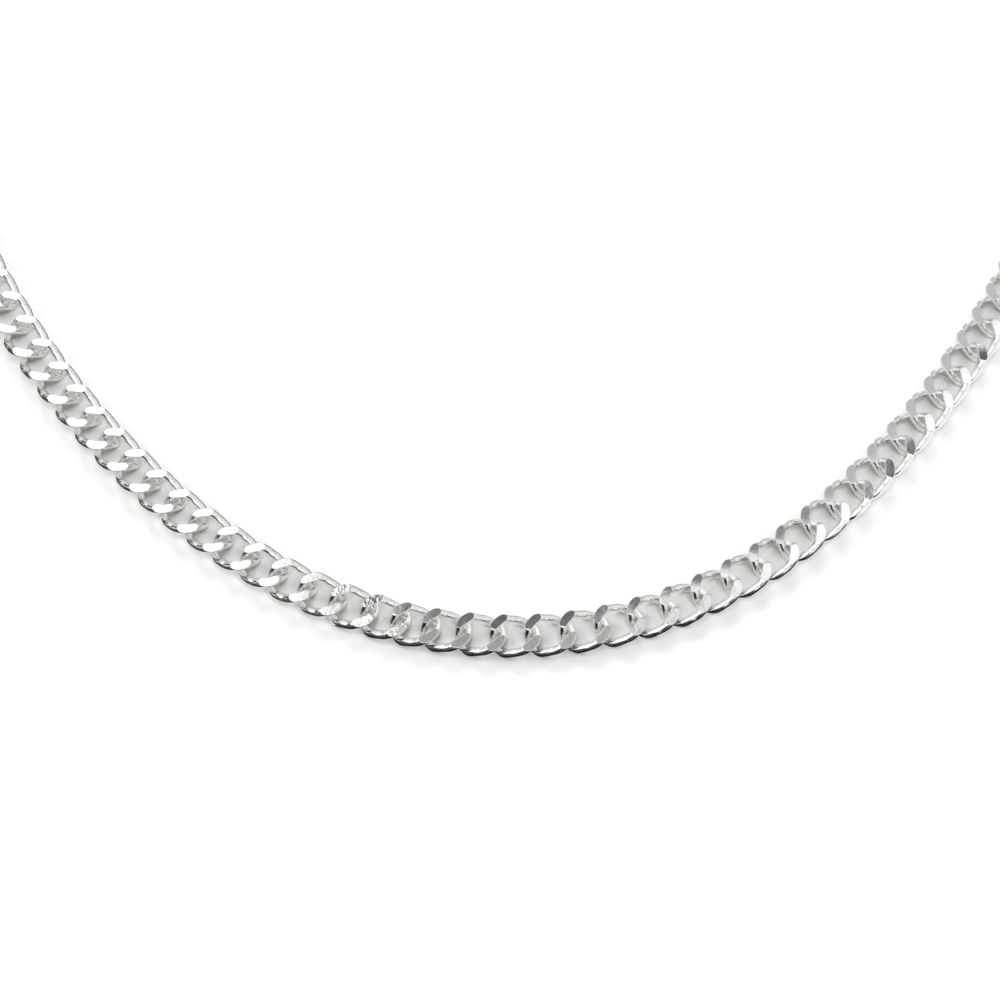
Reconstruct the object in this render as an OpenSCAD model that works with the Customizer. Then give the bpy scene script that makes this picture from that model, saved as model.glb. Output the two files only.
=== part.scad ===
// Curb chain necklace: flat-cut twisted links in one closed loop, shut by a plain clasp.
// It lies flat on the XY plane, with its front at -Y and the clasp at the back, at +Y.

/* [Chain] */
// Length of the closed necklace along its middle line
necklace_len = 450; // [400:10:600]
// Width across the chain
chain_w = 4.8; // [4.5:0.1:5.4]
// Thickness between the flat-cut faces
chain_t = 1.56; // [1.46:0.02:1.76]
// Distance from one link to the next, before the last fit to the loop
link_pitch = 3.65; // [3.5:0.05:3.9]
// Thickness of the drawn wire
wire_d = 1; // [0.9:0.02:1.04]
// How far the wire is pressed wider where two links cross, on each side
wire_press = 0.05; // [0.03:0.01:0.07]
// How far the wire is drawn thinner at a link's ends than at its sides, halved, on each side
wire_draw = 0.035; // [0.02:0.005:0.05]
// Clearance between the ends of two linked links
link_gap = 0.22; // [0.2:0.02:0.3]

/* [Clasp] */
// Length of the clasp's body
clasp_len = 8; // [7:0.5:12]
// Width of the clasp's body
clasp_w = 5.4; // [5.2:0.1:6.4]
// Height of the clasp's body
clasp_h = 2.2; // [2:0.1:3]
// Radius of the body's corners, seen from above
clasp_corner = 1.2; // [0.6:0.1:2]
// Step round the body's upper and lower edge
clasp_edge = 0.3; // [0.2:0.05:0.5]
// Clearance between the body and the first link of the chain
clasp_gap = 0.4; // [0.3:0.05:0.8]
// Slack between each eye and the first link of the chain
clasp_slack = 0.15; // [0.1:0.05:0.3]

/* [Hidden] */

// Guide points of the loop for a necklace of 450 mm, from the front and round by the right.
ROUTE = [
    [2, -78], [27, -70.5], [47, -50], [63, -24], [70.5, 5], [66.5, 33], [51, 56.5], [27, 72],
    [-1.5, 77.5], [-29.5, 71.5], [-53, 55], [-67, 31], [-70, 2.5], [-61.5, -26], [-45, -51.5], [-23.5, -71]
];
// Steps that each stretch of the loop is measured in
ROUTE_STEPS = 24;
// Where the clasp lies, as a share of the loop from its front
CLASP_AT = 0.497;

// Angles round a link at which its wire has a section, over half a turn
STATIONS = [0, 29, 74, 106, 151];
// Sides of the wire
WIRE_SIDES = 6;
// Fullness of a link's outline: 1 is an ellipse, and less is squarer
FULLNESS = 0.72;
// Height of a crossing wire's middle over the chain's middle, in radii of the wire there
CROSS_LIFT = 1.45;
// Spacing of the links, as the chain was laid: [share of the way from the clasp round to it, share of a step]
SPACING = [
    [0, 1.0025], [0.36, 1.0025], [0.38, 0.982], [0.5, 0.992], [0.51, 1.012], [0.58, 1.012], [0.6, 0.995],
    [0.64, 1], [1, 1]
];
// Links, counted from the clasp by the left, that lie closer to the one before, and their share of its step
CLOSE_LINKS = [57, 58];
CLOSE_STEP = 0.92;

// Route as points, with the length up to each of them

function spline_point(i, t) =
    let (
        n = len(ROUTE),
        a = ROUTE[(i + n - 1) % n],
        b = ROUTE[i % n],
        c = ROUTE[(i + 1) % n],
        d = ROUTE[(i + 2) % n],
        u = 1 - t
    )
    (a * pow(u, 3) + b * (3 * pow(t, 3) - 6 * t * t + 4) + c * (3 * pow(u, 3) - 6 * u * u + 4) + d * pow(t, 3)) / 6;

raw_points = [for (i = [0:len(ROUTE) - 1], j = [0:ROUTE_STEPS - 1]) spline_point(i, j / ROUTE_STEPS)];
point_count = len(raw_points);
raw_len = path_len(raw_points, 0, 0);
points = raw_points * (necklace_len / raw_len);
middle = [
    (max([for (p = points) p.x]) + min([for (p = points) p.x])) / 2,
    (max([for (p = points) p.y]) + min([for (p = points) p.y])) / 2
];
reached = [for (i = 0, s = 0; i <= point_count; s = s + side_len(points, i), i = i + 1) s];
x_table = [for (i = [0:point_count]) [reached[i], points[i % point_count].x - middle.x]];
y_table = [for (i = [0:point_count]) [reached[i], points[i % point_count].y - middle.y]];

function side_len(list, i) = norm(list[(i + 1) % len(list)] - list[i % len(list)]);
function path_len(list, i, s) = i == len(list) ? s : path_len(list, i + 1, s + side_len(list, i));
function wrap(s) = s - necklace_len * floor(s / necklace_len);
function point_at(s) = [lookup(wrap(s), x_table), lookup(wrap(s), y_table)];

// One link: an oval of wire, twisted about the chain and cut flat above and below

end_r = wire_r(0);
side_r = wire_r(90);
half_l = (link_pitch + 2 * end_r + link_gap) / 2;
half_w = chain_w / 2 - side_r;
link_reach = half_l + end_r;
cross_cos = pow(link_pitch / 2 / half_l, 1 / FULLNESS);
cross_sin = sqrt(1 - cross_cos * cross_cos);
cross_lift = CROSS_LIFT * (wire_d / 2 + wire_press);
twist = asin(cross_lift / (half_w * pow(cross_sin, FULLNESS))) / cross_cos;
station_angles = concat(STATIONS, [for (a = STATIONS) a + 180]);

function full(v) = sign(v) * pow(abs(v), FULLNESS);
function wire_r(a) = wire_d / 2 - wire_press * cos(4 * a) - wire_draw * cos(2 * a);
function wire_line(a) =
    let (
        y = half_w * full(sin(a)),
        turn = -twist * cos(a)
    )
    [half_l * full(cos(a)), y * cos(turn), y * sin(turn)];
function unit(v) = v / norm(v);
function flat_cut(p) = [p.x, p.y, min(max(p.z, -chain_t / 2), chain_t / 2)];
function wire_section(a) =
    let (
        along = unit(wire_line(a + 0.5) - wire_line(a - 0.5)),
        side = unit(cross(along, [0, 0, 1])),
        up = cross(side, along)
    )
    [for (k = [0:WIRE_SIDES - 1])
        let (b = 360 * k / WIRE_SIDES)
        flat_cut(wire_line(a) + wire_r(a) * (cos(b) * side + sin(b) * up))];

link_points = [for (a = station_angles) each wire_section(a)];
link_faces = [
    for (i = [0:len(station_angles) - 1], k = [0:WIRE_SIDES - 1])
        let (
            j = (i + 1) % len(station_angles),
            m = (k + 1) % WIRE_SIDES,
            p = i * WIRE_SIDES + k,
            q = i * WIRE_SIDES + m,
            r = j * WIRE_SIDES + k,
            s = j * WIRE_SIDES + m
        )
        each [[p, s, r], [p, q, s]]
];

// Links along the loop

// How far the clasp's body reaches past the middle of each of its eyes
eye_sunk = link_pitch - clasp_slack - link_reach - clasp_gap;
// From the clasp's middle to the middle of each eye
eye_at = clasp_len / 2 - eye_sunk;
// Between the first link and the last
closure = 2 * (eye_at + link_pitch - clasp_slack);
link_count = round((necklace_len - closure) / link_pitch + 1);
left_count = ceil(link_count / 2);
// Steps from the first link to each, and the length of a step
steps = [for (i = 0, n = 0; i < link_count; n = n + step_share(i + 1), i = i + 1) n];
step = (necklace_len - closure) / steps[link_count - 1];

function step_share(i) =
    lookup((i - 0.5) / (link_count - 1), SPACING) * (len(search(i, CLOSE_LINKS)) > 0 ? CLOSE_STEP : 1);
function link_at(i) = CLASP_AT * necklace_len + closure / 2 + steps[i] * step;

module link() {
    polyhedron(points = link_points, faces = link_faces, convexity = 6);
}

// Sets its children on the loop at length s, on the chord that reaches half_span to each side
module on_route(s, half_span) {
    back = point_at(s - half_span);
    ahead = point_at(s + half_span);
    translate([(back.x + ahead.x) / 2, (back.y + ahead.y) / 2, chain_t / 2])
        rotate([0, 0, atan2(ahead.y - back.y, ahead.x - back.x)])
            children();
}

module links(first, last) {
    for (i = [first:last])
        on_route(link_at(i), link_pitch / 2)
            link();
}

// Clasp: a plain body with rounded corners and an eye at each end, shaped as a link's end

module rounded_plate(length, width, height, corner) {
    linear_extrude(height = height) {
        square([length - 2 * corner, width], center = true);
        square([length, width - 2 * corner], center = true);
        for (x = [-1, 1], y = [-1, 1])
            translate([x * (length / 2 - corner), y * (width / 2 - corner)])
                circle(r = corner, $fn = 32);
    }
}

module clasp_body() {
    translate([0, 0, clasp_edge])
        rounded_plate(clasp_len, clasp_w, clasp_h - 2 * clasp_edge, clasp_corner);
    rounded_plate(clasp_len - 2 * clasp_edge, clasp_w - 2 * clasp_edge, clasp_h, clasp_corner - clasp_edge);
}

// Node modules

module chain_left() {
    color("silver")
        links(0, left_count - 1);
}

module chain_right() {
    color("lightgray")
        links(left_count, link_count - 1);
}

module clasp() {
    color("gainsboro")
        on_route(CLASP_AT * necklace_len, eye_at) {
            translate([0, 0, -chain_t / 2])
                clasp_body();
            for (x = [-1, 1])
                translate([x * eye_at, 0, 0])
                    link();
        }
}

chain_left();
chain_right();
clasp();
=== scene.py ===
"""Curb chain necklace of flat-cut silver links, lying in a closed loop on a white surface."""
import math
import random

import bpy
from mathutils import Matrix, Vector


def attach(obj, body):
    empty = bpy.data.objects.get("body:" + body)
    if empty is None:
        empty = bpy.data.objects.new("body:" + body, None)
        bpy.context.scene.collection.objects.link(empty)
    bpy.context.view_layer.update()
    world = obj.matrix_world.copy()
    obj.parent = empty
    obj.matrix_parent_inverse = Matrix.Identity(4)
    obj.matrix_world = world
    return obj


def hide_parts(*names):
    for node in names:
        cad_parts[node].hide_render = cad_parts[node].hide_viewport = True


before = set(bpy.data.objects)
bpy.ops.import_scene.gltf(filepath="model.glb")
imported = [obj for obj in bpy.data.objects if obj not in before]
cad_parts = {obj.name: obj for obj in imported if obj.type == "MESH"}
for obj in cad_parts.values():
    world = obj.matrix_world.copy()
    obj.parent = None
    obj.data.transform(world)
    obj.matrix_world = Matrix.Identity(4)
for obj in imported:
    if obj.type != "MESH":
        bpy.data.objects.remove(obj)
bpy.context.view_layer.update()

MM = 0.001
UP = Vector((0, 0, 1))
QUARTER = math.pi / 2

# Sizes in millimetres, the same as the solids have.
NECKLACE_LEN = 450.0
CHAIN_W, CHAIN_T = 4.8, 1.56
LINK_PITCH, LINK_GAP = 3.65, 0.22
WIRE_D, WIRE_PRESS, WIRE_DRAW = 1.0, 0.05, 0.035
FULLNESS, CROSS_LIFT = 0.72, 1.45
CLASP_LEN, CLASP_W, CLASP_H, CLASP_CORNER = 8.0, 5.4, 2.2, 1.2
CLASP_GAP, CLASP_SLACK, CLASP_AT = 0.4, 0.15, 0.497
SPACING = (
    (0, 1.0025), (0.36, 1.0025), (0.38, 0.982), (0.5, 0.992), (0.51, 1.012), (0.58, 1.012), (0.6, 0.995),
    (0.64, 1), (1, 1),
)
CLOSE_LINKS, CLOSE_STEP = (57, 58), 0.92
ROUTE = (
    (2, -78), (27, -70.5), (47, -50), (63, -24), (70.5, 5), (66.5, 33), (51, 56.5), (27, 72),
    (-1.5, 77.5), (-29.5, 71.5), (-53, 55), (-67, 31), (-70, 2.5), (-61.5, -26), (-45, -51.5), (-23.5, -71),
)
ROUTE_STEPS = 24

# Cut faces, in millimetres. Their edges are softened and the upper ones taper, which the solids leave out.
INSET = 0.01                        # how far the cut faces stay inside those of the solids
HALF_T = CHAIN_T / 2 - INSET        # their height over the chain's middle
RIM = 0.09                          # radius of a cut face's softened edge, where the cut is deep
RIM_LEAST, RIM_GROWTH = 0.01, 2     # that radius where a cut begins, and its growth with the cut's depth
RIM_SHARE = 0.3                     # its most, as a share of what the cut leaves of the wire
END_RISE, SIDE_RISE = 0.3, 0.3      # an upper cut's rise towards its link's end and side, per square mm
DOME = (0.004, 0.032)               # outward lean of a cut face's normal in world x and y, per millimetre
LOBE = math.radians(46)             # how far round its link each cut is deepest
LOBES = (LOBE, math.pi - LOBE, math.pi + LOBE, -LOBE)
CUT_FROM, CUT_TO = math.radians(2), math.radians(88)    # between which each cut begins and ends

# Slopes of the cut faces: a row's own lean, and how much each face strays from it in world x and y.
# The faces of rough links stray further, and the front faces of steep links lean further.
CROWN = 0.045
STRAY = (0.004, 0.008)
ROUGH_LINKS, ROUGH_STRAY = (55, 56), 6
STEEP_LINKS, STEEP_CROWN = (71, 72, 73, 77), 3.2

# Clasp's body: rounded edges, and a crown whose lean takes over where the upper edge stops.
CLASP_ROUND, CLASP_CROWN = 0.5, 0.15
CROWN_LEAN = math.radians(8)

# Numbers of steps: along a cut face, across it, over each of its softened edges and down a wire's side,
# then round a corner of the clasp, over its edges and across its crown.
CUT_STEPS, FLAT_SEGS, RIM_SEGS, SIDE_SEGS = 10, 3, 2, 5
CORNER_SEGS, EDGE_SEGS, CROWN_SEGS = 8, 6, 8

# Points on one half of a wire's section, with the side that follows it, and on the whole of it.
HALF_POINTS = 2 * (RIM_SEGS + 2) + SIDE_SEGS - 1
RING_POINTS = 2 * HALF_POINTS

# Bumps and scratches of the silver, from noise that runs on from link to link.
LINK_SHIFT = 11.7                   # from one link to the next in that noise, in millimetres
NOISE_RANGE = (0.35, 0.7)           # values between which the roughness rises

# Where no cut reaches, the points of a wire's section open from one angle to the other as the cut stays away.
LEAST_HALF, REST_HALF = math.radians(5), math.radians(42)
OPEN_OVER = 0.45                    # share of the wire's radius over which they open
WELL_CLEAR = 3                      # height in radii at which no cut is felt

# Camera: a long lens that looks down on the front of the chain, with its focal length in the photo's pixels.
VIEW_ELEVATION = math.radians(62)
PHOTO_PX, FOCAL_PX = 1000, 2780
MM_PER_PX = 0.1082
SENSOR = 36                         # its width in millimetres
TARGET = Vector((0.01, -59.01, 0)) * MM

# Floor, and the cards on it. A card has a grey, its stretch along the loop, and its near and far reach
# outwards, or inwards where they are negative. Its near edge drifts outwards over one stretch.
FLOOR_HALF, FLOOR_Z, CARD_Z = 1.5, -0.00002, 0.00001     # in metres
FLOOR_WHITE = (0.86, 0.855, 0.842)
CARDS = (
    ("card_front", 0.02, (-19, 39), (2.25, 45)),
    ("card_left", 0.05, (-111, -19), (2.9, 45)),
    ("card_inside", 0.2, (-111, -15), (-2.5, -25)),
    ("card_back", 0.15, (125, 325), (3.4, 30)),
)
CARD_STEP = 2
CARD_DRIFT, DRIFT_FROM, DRIFT_TO = 0.04, 20, 39

# Soft lights: place and size in metres, and watts.
SOFTBOXES = (
    ("softbox_top", (0, 0.1, 1.2), 1.0, 7),
    ("softbox_back", (0, 0.75, 0.35), 0.6, 7),
    ("softbox_left", (-0.72, 0.2, 0.25), 0.5, 5.5),
    ("softbox_front_left", (-0.4, -0.75, 0.22), 0.5, 4),
    ("softbox_right", (0.72, 0.2, 0.25), 0.5, 3.5),
    ("softbox_front_right", (0.4, -0.75, 0.22), 0.5, 4),
)

# What the silver mirrors: a tent with patches of other strengths. Each patch has four limits in x, across
# the picture, and four in degrees of polar, which run up from the front and over to the back. It fades in
# between the first two of them and out between the last two.
TENT = 0.83
BACK_LOW = (0.6, (128, 137, 176, 190))                              # low at the back, all across
WIRE_PATCHES = (
    (1.15, (-0.92, -0.84, 0.12, 0.2), (40, 46, 98, 106)),           # overhead
    (0.4, (0.14, 0.2, 0.42, 0.5), (136, 140, 154, 160)),            # low at the back, on the right
    (0.02, (-1.1, -1.0, 0.3, 0.5), (-56, -46, 30, 40)),             # in front
)
FAR_LEFT = (0.08, (-0.98, -0.94, -0.8, -0.74), (0.4, 0.5))          # the last two are limits in z
CUT_PATCHES = (
    (1.35, (-0.27, -0.24, -0.056, -0.049), (102, 106, 126, 136)),   # bright box, for the left stretch
    (1.15, (-0.056, -0.049, 0.1, 0.12), (98, 102, 104, 107)),       # low box, for the middle
    (0.33, (-0.056, -0.049, 0.045, 0.06), (104, 107, 114, 117)),    # grey wall
    (0.12, (-0.056, -0.049, 0.045, 0.06), (114, 117, 130, 134)),    # dark slot
    (1.15, (0.045, 0.06, 0.1, 0.12), (104, 107, 120.5, 123)),
    (0.12, (0.045, 0.06, 0.1, 0.12), (120.5, 123, 130, 134)),
    (0.1, (0.1, 0.12, 0.24, 0.3), (88, 92, 105, 108)),              # for the right stretch: dark,
    (1.15, (0.1, 0.12, 0.24, 0.3), (105, 108, 118, 121)),           # bright,
    (0.58, (0.1, 0.12, 0.24, 0.3), (118, 121, 131, 137)),           # and grey
)
TENT_RED, TENT_GREEN, TENT_BLUE = 0.99, 0.985, 0.98
BLUE_ADDED, BLUE_ACROSS = 0.06, (0.07, 0.13, 0.24, 0.3)


def add_object(name, mesh):
    made = bpy.data.objects.new(name, mesh)
    bpy.context.scene.collection.objects.link(made)
    return made


def add_camera():
    data = bpy.data.cameras.new("photo_camera")
    data.sensor_width = SENSOR
    data.lens = SENSOR * FOCAL_PX / PHOTO_PX
    data.clip_start = 0.001
    data.clip_end = 20
    cam = add_object("photo_camera", data)
    back = Vector((0, -math.cos(VIEW_ELEVATION), math.sin(VIEW_ELEVATION)))
    cam.location = TARGET + back * (FOCAL_PX * MM_PER_PX * MM)
    cam.rotation_euler = (QUARTER - VIEW_ELEVATION, 0, 0)
    bpy.context.scene.camera = cam


# Route of the chain

def spline_points():
    out = []
    n = len(ROUTE)
    for i in range(n):
        a, b, c, d = (Vector(ROUTE[(i + k) % n]) for k in (-1, 0, 1, 2))
        for j in range(ROUTE_STEPS):
            t = j / ROUTE_STEPS
            u = 1 - t
            out.append((a * u ** 3 + b * (3 * t ** 3 - 6 * t * t + 4)
                        + c * (3 * u ** 3 - 6 * u * u + 4) + d * t ** 3) / 6)
    return out


def scaled_route():
    """Points of the route at its real length, round the middle of its box."""
    pts = spline_points()
    raw = sum((pts[(i + 1) % len(pts)] - p).length for i, p in enumerate(pts))
    pts = [p * (NECKLACE_LEN / raw) for p in pts]
    mid = Vector(((max(p.x for p in pts) + min(p.x for p in pts)) / 2,
                  (max(p.y for p in pts) + min(p.y for p in pts)) / 2))
    return [p - mid for p in pts]


PATH = scaled_route()
REACHED = [0.0]
for _i, _p in enumerate(PATH):
    REACHED.append(REACHED[-1] + (PATH[(_i + 1) % len(PATH)] - _p).length)


def point_at(s):
    """Point of the route at length s from its front."""
    s %= NECKLACE_LEN
    lo, hi = 0, len(PATH)
    while hi - lo > 1:
        m = (lo + hi) // 2
        lo, hi = (m, hi) if REACHED[m] <= s else (lo, m)
    t = (s - REACHED[lo]) / (REACHED[lo + 1] - REACHED[lo])
    return PATH[lo].lerp(PATH[(lo + 1) % len(PATH)], t)


def place_at(s, half_span):
    """Place of a piece on the chord that reaches half_span to each side of s, and the way that it runs."""
    a, b = point_at(s - half_span), point_at(s + half_span)
    mid, way = (a + b) / 2, b - a
    heading = math.atan2(way.y, way.x)
    return Matrix.Translation((mid.x, mid.y, CHAIN_T / 2)) @ Matrix.Rotation(heading, 4, "Z"), heading


def lookup(table, at):
    for (a, low), (b, high) in zip(table, table[1:]):
        if at <= b:
            return low + (high - low) * (at - a) / (b - a)
    return table[-1][1]


# Wire of one link, round which an angle runs from the link's one end

def full(v):
    return math.copysign(abs(v) ** FULLNESS, v)


def wire_r(a):
    return WIRE_D / 2 - WIRE_PRESS * math.cos(4 * a) - WIRE_DRAW * math.cos(2 * a)


END_R, SIDE_R = wire_r(0), wire_r(QUARTER)
HALF_L = (LINK_PITCH + 2 * END_R + LINK_GAP) / 2
HALF_W = CHAIN_W / 2 - SIDE_R
LINK_REACH = HALF_L + END_R
CROSS_COS = (LINK_PITCH / 2 / HALF_L) ** (1 / FULLNESS)
CROSS_SIN = math.sqrt(1 - CROSS_COS ** 2)
TWIST = math.asin(CROSS_LIFT * (WIRE_D / 2 + WIRE_PRESS) / (HALF_W * CROSS_SIN ** FULLNESS)) / CROSS_COS


def wire_line(a):
    y = HALF_W * full(math.sin(a))
    turn = -TWIST * math.cos(a)
    return Vector((HALF_L * full(math.cos(a)), y * math.cos(turn), y * math.sin(turn)))


LOBE_X = wire_line(LOBE).x


def wire_frame(a):
    """Middle of the wire at angle a, its ways along, sideways and up, its radius and how fast that grows."""
    e = 1e-3
    step = wire_line(a + e) - wire_line(a - e)
    along = step.normalized()
    swell = (wire_r(a + e) - wire_r(a - e)) / step.length
    side = along.cross(UP).normalized()
    return wire_line(a), along, side, side.cross(along), wire_r(a), swell


def cut_rise(x):
    """How much shallower an upper cut is at length x along its link than at its deepest."""
    past = abs(x) - LOBE_X
    return (END_RISE if past > 0 else SIDE_RISE) * past * past


def cut_start(lo, hi, upper):
    """Angle between lo and hi at which a cut just touches the wire."""
    def over(a):
        c, _, _, up, r, _ = wire_frame(a)
        return -c.z + r * up.z - HALF_T - (cut_rise(c.x) if upper else 0)
    for _ in range(40):
        m = (lo + hi) / 2
        if (over(lo) > 0) == (over(m) > 0):
            lo = m
        else:
            hi = m
    return (lo + hi) / 2


def quarter_angles(upper):
    """Angles of the sections over the first quarter of a link, close together along its cut."""
    first = cut_start(CUT_FROM, LOBE, upper)
    last = cut_start(LOBE, CUT_TO, upper)
    rest = QUARTER - last
    cut = [first + (last - first) * (1 - math.cos(math.pi * k / CUT_STEPS)) / 2 for k in range(CUT_STEPS + 1)]
    return [0, first / 3, first * 2 / 3] + cut + [last + rest / 3, last + rest * 2 / 3]


def ring_angles():
    upper = [math.pi - a for a in reversed(quarter_angles(True)[1:])]
    half = quarter_angles(False) + [QUARTER] + upper
    return half + [a + math.pi for a in half]


RINGS = ring_angles()


def softened_cut(h, r):
    """Half of a wire's section of radius r, cut at height h, from its middle outwards.

    Gives its points as (across, height, angle of the normal), the angle of the last, and whether it is cut.
    """
    if h >= r - 1e-6:
        near = min(1.0, (h - r) / (OPEN_OVER * r))
        half = LEAST_HALF + (REST_HALF - LEAST_HALF) * near * near * (3 - 2 * near)
        places = [0.5] + [FLAT_SEGS / 2 + k for k in range(RIM_SEGS + 1)]
        turns = [half * place / places[-1] for place in places]
        return [(math.sin(g) * r, math.cos(g) * r, g) for g in turns], half, False
    rim = min(RIM, RIM_LEAST + (r - h) * RIM_GROWTH, (r + h) * RIM_SHARE)
    flat = math.sqrt(max((r - rim) ** 2 - (h - rim) ** 2, 1e-10))
    half = math.atan2(flat, h - rim)
    out = [(flat / FLAT_SEGS, h, 0.0)]
    for k in range(RIM_SEGS + 1):
        g = half * k / RIM_SEGS
        out.append((flat + rim * math.sin(g), h - rim + rim * math.cos(g), g))
    return out, half, True


def half_section(wire, s, h, lean, face_along):
    """Points with their normals over the upper (s = 1) or lower half of a section, and whether it is cut.

    lean is how far the cut leans sideways, and face_along how far its normal leans along the wire.
    """
    c, along, side, up, r, swell = wire
    pts, half, cut = softened_cut(h, r)
    row = [(-x, y, -g) for x, y, g in reversed(pts)] + pts
    if s < 0:
        row.reverse()
    cs, sn = math.cos(lean), math.sin(lean)
    out = []
    for x, y, g in row:
        share = 1 - abs(g) / half if cut else 0.0
        y *= s
        dx, dy = math.sin(g), math.cos(g) * s
        point = c + side * (x * cs + y * sn) + up * (y * cs - x * sn)
        normal = side * (dx * cs + dy * sn) + up * (dy * cs - dx * sn)
        normal += along * (face_along * share - swell * (1 - share))
        out.append((point, normal.normalized()))
    return out, cut


def wire_side(wire, last, first):
    """Points and normals down the side of the wire, from the last of one half to the first of the next."""
    c, along, side, up, r, swell = wire
    start, end = (math.atan2((p - c).dot(side), (p - c).dot(up)) for p, _ in (last, first))
    while end < start:
        end += 2 * math.pi
    out = []
    for k in range(1, SIDE_SEGS):
        g = start + (end - start) * k / SIDE_SEGS
        way = side * math.sin(g) + up * math.cos(g)
        out.append((c + way * r, (way - along * swell).normalized()))
    return out


def link_shape(tilts, heading):
    """Points and normals of one link, section by section, and whether each section is cut above and below.

    tilts holds the slope of each of its four cut faces. heading is the direction that the link runs in.
    """
    points, normals, cuts = [], [], []
    to_world, to_link = Matrix.Rotation(heading, 3, "Z"), Matrix.Rotation(-heading, 3, "Z")
    for a in RINGS:
        wire = wire_frame(a)
        c, along, side, up, r, _ = wire
        quarter = int(a // QUARTER) % 4
        top = c.z > 1e-9
        sign = 1 if top else -1
        slope = Vector((*tilts[quarter], 0)) if top else Vector((0, 0, 0))
        deepest = wire_line(LOBES[quarter])
        origin = Vector((deepest.x, deepest.y, sign * (HALF_T + (cut_rise(c.x) if top else 0))))
        # the cut's height over the wire's middle, measured across the wire
        plane = (slope + UP * sign).normalized()
        height = plane.dot(origin - c) / Vector((plane.dot(side), plane.dot(up))).length
        # its normal, which the dome leans outwards
        away = to_world @ (c - origin)
        dome = to_link @ Vector((away.x * DOME[0], away.y * DOME[1], 0))
        face = (slope + dome + UP * sign).normalized()
        flat = Vector((face.dot(side), face.dot(up)))
        lean = math.atan2(flat.x, flat.y * sign) * sign
        # the cut half, and the round one
        halves = []
        for s in (1, -1):
            if s == sign:
                halves.append(half_section(wire, s, height, lean, face.dot(along) / flat.length))
            else:
                halves.append(half_section(wire, s, WELL_CLEAR * r, 0, 0))
        (upper, upper_cut), (lower, lower_cut) = halves
        section = upper + wire_side(wire, upper[-1], lower[0]) + lower + wire_side(wire, lower[-1], upper[0])
        points += [p for p, _ in section]
        normals += [n for _, n in section]
        cuts.append((upper_cut, lower_cut))
    return points, normals, cuts


def link_faces(cuts, base):
    """Faces of a link whose first point has the number base, and the material of each: 1 on its cut faces."""
    faces, slots = [], []
    for i, here in enumerate(cuts):
        j = (i + 1) % len(cuts)
        for k in range(RING_POINTS):
            m = (k + 1) % RING_POINTS
            corners = ((i, k), (i, m), (j, m), (j, k))
            faces.append(tuple(base + ring * RING_POINTS + point for ring, point in corners))
            half, place = divmod(k, HALF_POINTS)
            on_flat = RIM_SEGS <= place < RIM_SEGS + FLAT_SEGS
            slots.append(1 if on_flat and here[half] and cuts[j][half] else 0)
    return faces, slots


# Materials

def new_material(name):
    mat = bpy.data.materials.new(name)
    mat.use_nodes = True
    return mat, mat.node_tree, mat.node_tree.nodes["Principled BSDF"]


def node(tree, kind, **values):
    made = tree.nodes.new("ShaderNode" + kind)
    for key, value in values.items():
        if key in made.inputs:
            made.inputs[key].default_value = value
        else:
            setattr(made, key.lower(), value)
    return made


def map_range(tree, value, lo, hi, a, b, smooth):
    made = node(tree, "MapRange")
    if smooth:
        made.interpolation_type = "SMOOTHSTEP"
    for key, v in (("From Min", lo), ("From Max", hi), ("To Min", a), ("To Max", b)):
        made.inputs[key].default_value = v
    tree.links.new(value, made.inputs["Value"])
    return made.outputs["Result"]


def calc(tree, op, *values):
    made = node(tree, "Math")
    made.operation = op
    for k, v in enumerate(values):
        if isinstance(v, (int, float)):
            made.inputs[k].default_value = v
        else:
            tree.links.new(v, made.inputs[k])
    return made.outputs[0]


def silver_material(name, base, wave, wave_scale, fine, fine_scale, rough, stretch):
    """Polished silver with broad waves and fine scratches, each with its depth in mm and its scale."""
    mat, tree, shader = new_material(name)
    link = tree.links.new
    shader.inputs["Base Color"].default_value = (*base, 1)
    shader.inputs["Metallic"].default_value = 1
    where = node(tree, "Attribute", attribute_name="on_link")
    squeeze = node(tree, "Mapping", Scale=stretch)
    link(where.outputs["Vector"], squeeze.inputs["Vector"])
    broad = node(tree, "TexNoise", Scale=wave_scale, Detail=2.0)
    link(where.outputs["Vector"], broad.inputs["Vector"])
    thin = node(tree, "TexNoise", Scale=fine_scale, Detail=4.0)
    link(squeeze.outputs["Vector"], thin.inputs["Vector"])
    link(map_range(tree, thin.outputs["Fac"], *NOISE_RANGE, *rough, False), shader.inputs["Roughness"])
    waves = node(tree, "Bump", Distance=wave * MM)
    link(broad.outputs["Fac"], waves.inputs["Height"])
    scratches = node(tree, "Bump", Distance=fine * MM)
    link(thin.outputs["Fac"], scratches.inputs["Height"])
    link(waves.outputs["Normal"], scratches.inputs["Normal"])
    link(scratches.outputs["Normal"], shader.inputs["Normal"])
    return mat


def plain_material(name, colour, roughness, specular):
    mat, _, shader = new_material(name)
    shader.inputs["Base Color"].default_value = (*colour, 1)
    shader.inputs["Roughness"].default_value = roughness
    shader.inputs["Specular IOR Level"].default_value = specular
    return mat


# Chain

EYE_SUNK = LINK_PITCH - CLASP_SLACK - LINK_REACH - CLASP_GAP
EYE_AT = CLASP_LEN / 2 - EYE_SUNK
CLOSURE = 2 * (EYE_AT + LINK_PITCH - CLASP_SLACK)
LINK_COUNT = round((NECKLACE_LEN - CLOSURE) / LINK_PITCH + 1)
LEFT_COUNT = math.ceil(LINK_COUNT / 2)


def step_share(i):
    return lookup(SPACING, (i - 0.5) / (LINK_COUNT - 1)) * (CLOSE_STEP if i in CLOSE_LINKS else 1)


STEPS = [0.0]
for _i in range(1, LINK_COUNT):
    STEPS.append(STEPS[-1] + step_share(_i))
STEP = (NECKLACE_LEN - CLOSURE) / STEPS[-1]


def link_at(i):
    return CLASP_AT * NECKLACE_LEN + CLOSURE / 2 + STEPS[i] * STEP


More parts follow.
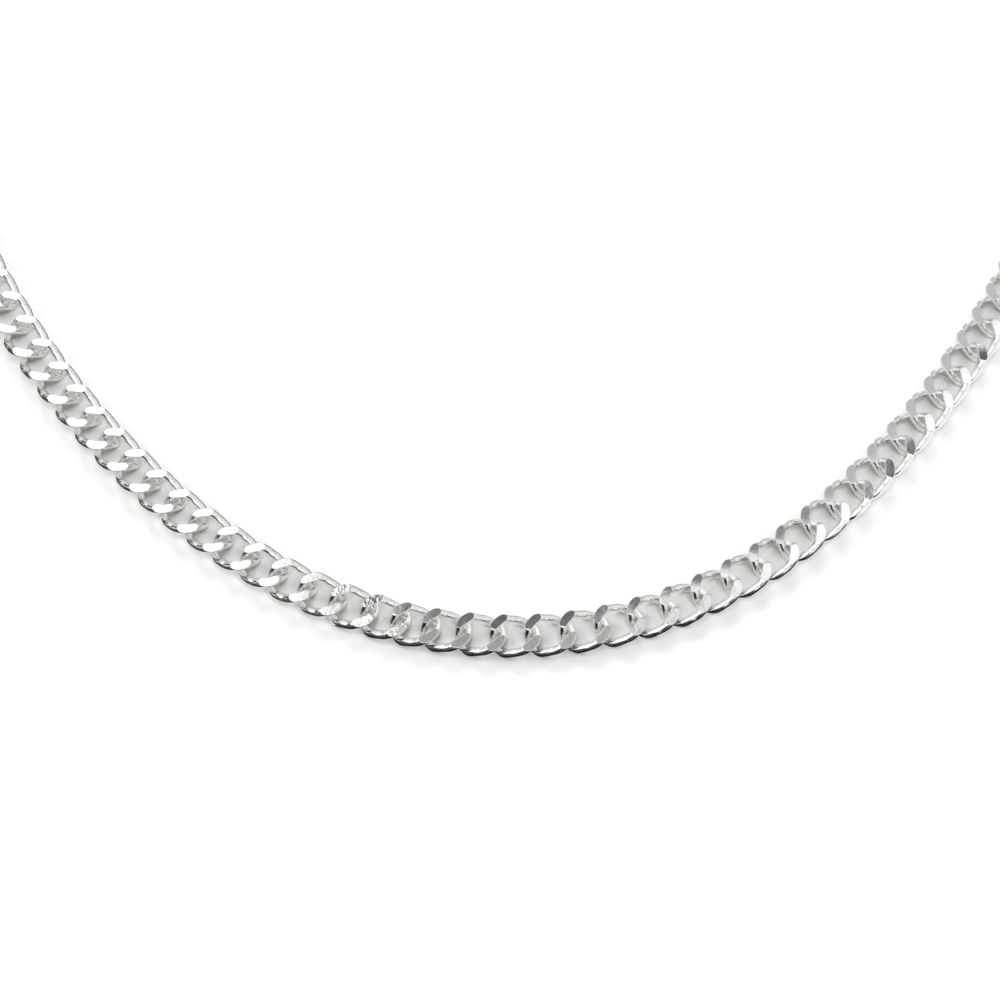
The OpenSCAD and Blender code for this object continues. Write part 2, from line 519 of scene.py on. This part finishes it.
def slopes(rng, heading, number):
    """Slopes of a link's four cut faces: the back row leans back, the front row forwards, and each strays."""
    stray_x, stray_y = (s * (ROUGH_STRAY if number in ROUGH_LINKS else 1) for s in STRAY)
    front_crown = -CROWN * (STEEP_CROWN if number in STEEP_LINKS else 1)
    out = []
    for crown in (CROWN, CROWN, front_crown, front_crown):
        lean = Vector((rng.gauss(0, stray_x), crown + rng.gauss(0, stray_y), 0))
        lean.rotate(Matrix.Rotation(-heading, 3, "Z"))
        out.append((lean.x, lean.y))
    return out


def mesh_object(name, links, body=None):
    """One mesh of links, each a (place, points, normals, cuts, number), and of a body if there is one."""
    verts, normals, faces, slots, on_link = [], [], [], [], []

    def add(place, points, point_normals, shift):
        turn = place.to_3x3()
        verts.extend(tuple((place @ p) * MM) for p in points)
        normals.extend(tuple(turn @ n) for n in point_normals)
        for p in points:
            on_link.extend((p.x + shift, p.y, p.z))

    if body:
        place, points, point_normals, faces = body
        add(place, points, point_normals, 0)
        slots = [1] * len(faces)
    for place, points, point_normals, cuts, number in links:
        new_faces, new_slots = link_faces(cuts, len(verts))
        faces += new_faces
        slots += [0] * len(new_slots) if number in ROUGH_LINKS else new_slots
        add(place, points, point_normals, LINK_SHIFT * number)
    mesh = bpy.data.meshes.new(name)
    mesh.from_pydata(verts, [], faces)
    mesh.materials.append(WIRE_SILVER)
    mesh.materials.append(CUT_SILVER)
    mesh.polygons.foreach_set("material_index", slots)
    mesh.polygons.foreach_set("use_smooth", [True] * len(faces))
    attribute = mesh.attributes.new("on_link", "FLOAT_VECTOR", "POINT")
    attribute.data.foreach_set("vector", on_link)
    mesh.update()
    mesh.normals_split_custom_set_from_vertices(normals)
    return add_object(name, mesh)


def build_links(first, last, seed):
    rng = random.Random(seed)
    links = []
    for i in range(first, last + 1):
        place, heading = place_at(link_at(i), LINK_PITCH / 2)
        links.append((place, *link_shape(slopes(rng, heading, i), heading), i))
    return links


def clasp_body():
    """Points, normals and faces of the clasp's body, with rounded edges and a slightly crowned top."""
    outline = []
    for quarter, (sx, sy) in enumerate(((1, 1), (-1, 1), (-1, -1), (1, -1))):
        corner = Vector((sx * (CLASP_LEN / 2 - CLASP_CORNER), sy * (CLASP_W / 2 - CLASP_CORNER), 0))
        for k in range(CORNER_SEGS + 1):
            g = (quarter + k / CORNER_SEGS) * QUARTER
            outline.append((corner, Vector((math.cos(g), math.sin(g), 0))))
    edges = [(-1, QUARTER * (k / EDGE_SEGS - 1)) for k in range(EDGE_SEGS + 1)]
    edges += [(1, (QUARTER - CROWN_LEAN) * k / EDGE_SEGS) for k in range(EDGE_SEGS + 1)]
    points, normals, faces = [], [], []
    for half, g in edges:
        z = CLASP_H / 2 - CHAIN_T / 2 + half * (CLASP_H / 2 - CLASP_ROUND) + math.sin(g) * CLASP_ROUND
        z -= CLASP_CROWN * (half > 0)
        for corner, out in outline:
            points.append(corner + out * (CLASP_CORNER - CLASP_ROUND * (1 - math.cos(g))) + UP * z)
            normals.append(out * math.cos(g) + UP * math.sin(g))
    n = len(outline)
    rim = points[-n:]
    for k in range(1, CROWN_SEGS):
        f = 1 - k / CROWN_SEGS
        for p in rim:
            points.append(Vector((p.x * f, p.y * f, p.z + CLASP_CROWN * (1 - f * f))))
            lean = Vector((p.x / CLASP_LEN, p.y / CLASP_W, 0)) * (2 * f * math.tan(CROWN_LEAN))
            normals.append((UP + lean).normalized())
    rows = len(points) // n
    for i in range(rows - 1):
        here, above = i * n, (i + 1) * n
        faces += [(here + k, here + (k + 1) % n, above + (k + 1) % n, above + k) for k in range(n)]
    faces.append(tuple(reversed(range(n))))
    faces.append(tuple(range((rows - 1) * n, rows * n)))
    return points, normals, faces


def build_clasp():
    place, heading = place_at(CLASP_AT * NECKLACE_LEN, EYE_AT)
    eyes = []
    for side in (-1, 1):
        eye = place @ Matrix.Translation((side * EYE_AT, 0, 0))
        eyes.append((eye, *link_shape([(0, 0)] * 4, heading), LINK_COUNT + side))
    return mesh_object("clasp_body", eyes, (place, *clasp_body()))


def stand_for(piece, cad_node):
    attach(piece, "root")
    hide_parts(cad_node)


# Floor and light

def add_floor():
    mesh = bpy.data.meshes.new("floor")
    corners = [(x * FLOOR_HALF, y * FLOOR_HALF, FLOOR_Z) for x, y in ((-1, -1), (1, -1), (1, 1), (-1, 1))]
    mesh.from_pydata(corners, [], [(0, 1, 2, 3)])
    mesh.materials.append(plain_material("floor_white", FLOOR_WHITE, roughness=0.9, specular=0.1))
    add_object("floor", mesh)


def add_card(name, shade, stretch, reach):
    """A strip on the floor beside the chain that only the silver mirrors, as it does a dark card."""
    first, last = stretch
    near, far = reach
    rows = []
    for s in range(first, last + 1, CARD_STEP):
        way = (point_at(s + 0.5) - point_at(s - 0.5)).normalized()
        out = Vector((way.y, -way.x))
        drift = max(0, min(s, DRIFT_TO) - DRIFT_FROM)
        for away in (near + CARD_DRIFT * drift, far):
            q = point_at(s) + out * away
            rows.append((q.x * MM, q.y * MM, CARD_Z))
    mesh = bpy.data.meshes.new(name)
    mesh.from_pydata(rows, [], [(i, i + 1, i + 3, i + 2) for i in range(0, len(rows) - 2, 2)])
    mesh.materials.append(plain_material(name, (shade, shade, shade), roughness=1, specular=0))
    card = add_object(name, mesh)
    card.visible_camera = card.visible_diffuse = card.visible_shadow = False


def add_softbox(name, at, size, watts):
    """A large soft light that brightens the floor and isn't mirrored in the silver."""
    data = bpy.data.lights.new(name, "AREA")
    data.shape = "DISK"
    data.size = size
    data.energy = watts
    lamp = add_object(name, data)
    lamp.location = at
    lamp.rotation_euler = (-Vector(at)).to_track_quat("-Z", "Y").to_euler()
    lamp.visible_glossy = False


def add_world():
    """The tent and its patches, which only the silver mirrors."""
    world = bpy.data.worlds.new("tent")
    bpy.context.scene.world = world
    world.use_nodes = True
    world.cycles_visibility.diffuse = False
    tree = world.node_tree
    link = tree.links.new
    split = node(tree, "SeparateXYZ")
    link(node(tree, "TexCoord").outputs["Generated"], split.inputs["Vector"])
    x, y, z = split.outputs
    polar = calc(tree, "ARCTAN2", z, calc(tree, "MULTIPLY", y, -1))

    def fade(value, lo, hi, a, b):
        return map_range(tree, value, lo, hi, a, b, True)

    def band(value, a, b, c, d):
        return calc(tree, "MULTIPLY", fade(value, a, b, 0, 1), fade(value, c, d, 1, 0))

    def polar_band(limits):
        return band(polar, *(math.radians(v) for v in limits))

    def over(level, mask, new):
        """level where mask is 0, and new where it is 1"""
        made = node(tree, "Mix")
        link(mask, made.inputs["Factor"])
        if isinstance(level, float):
            made.inputs["A"].default_value = level
        else:
            link(level, made.inputs["A"])
        made.inputs["B"].default_value = new
        return made.outputs["Result"]

    strength, limits = BACK_LOW
    level = over(TENT, polar_band(limits), strength)
    for strength, across, limits in WIRE_PATCHES:
        level = over(level, calc(tree, "MULTIPLY", band(x, *across), polar_band(limits)), strength)
    strength, across, limits = FAR_LEFT
    level = over(level, calc(tree, "MULTIPLY", band(x, *across), fade(z, *limits, 1, 0)), strength)
    for strength, across, limits in CUT_PATCHES:
        level = over(level, calc(tree, "MULTIPLY", band(x, *across), polar_band(limits)), strength)
    shine = tree.nodes["Background"]
    link(level, shine.inputs["Strength"])
    tint = node(tree, "CombineColor", Red=TENT_RED, Green=TENT_GREEN)
    blue = calc(tree, "ADD", calc(tree, "MULTIPLY", band(x, *BLUE_ACROSS), BLUE_ADDED), TENT_BLUE)
    link(blue, tint.inputs["Blue"])
    link(tint.outputs["Color"], shine.inputs["Color"])


# What is built

add_camera()

WIRE_SILVER = silver_material("silver_wire", (0.94, 0.935, 0.92), wave=0.036, wave_scale=1.9, fine=0.005,
                              fine_scale=7.0, rough=(0.05, 0.12), stretch=(1, 1, 1))
CUT_SILVER = silver_material("silver_cut", (0.90, 0.895, 0.89), wave=0.006, wave_scale=1.4, fine=0.003,
                             fine_scale=6.0, rough=(0.06, 0.13), stretch=(0.6, 2.4, 1))

stand_for(mesh_object("chain_left_links", build_links(0, LEFT_COUNT - 1, seed=5)), "chain_left")
stand_for(mesh_object("chain_right_links", build_links(LEFT_COUNT, LINK_COUNT - 1, seed=9)), "chain_right")
stand_for(build_clasp(), "clasp")

for _softbox in SOFTBOXES:
    add_softbox(*_softbox)
add_floor()
for _card in CARDS:
    add_card(*_card)
add_world()
bpy.context.scene.view_settings.view_transform = "Standard"
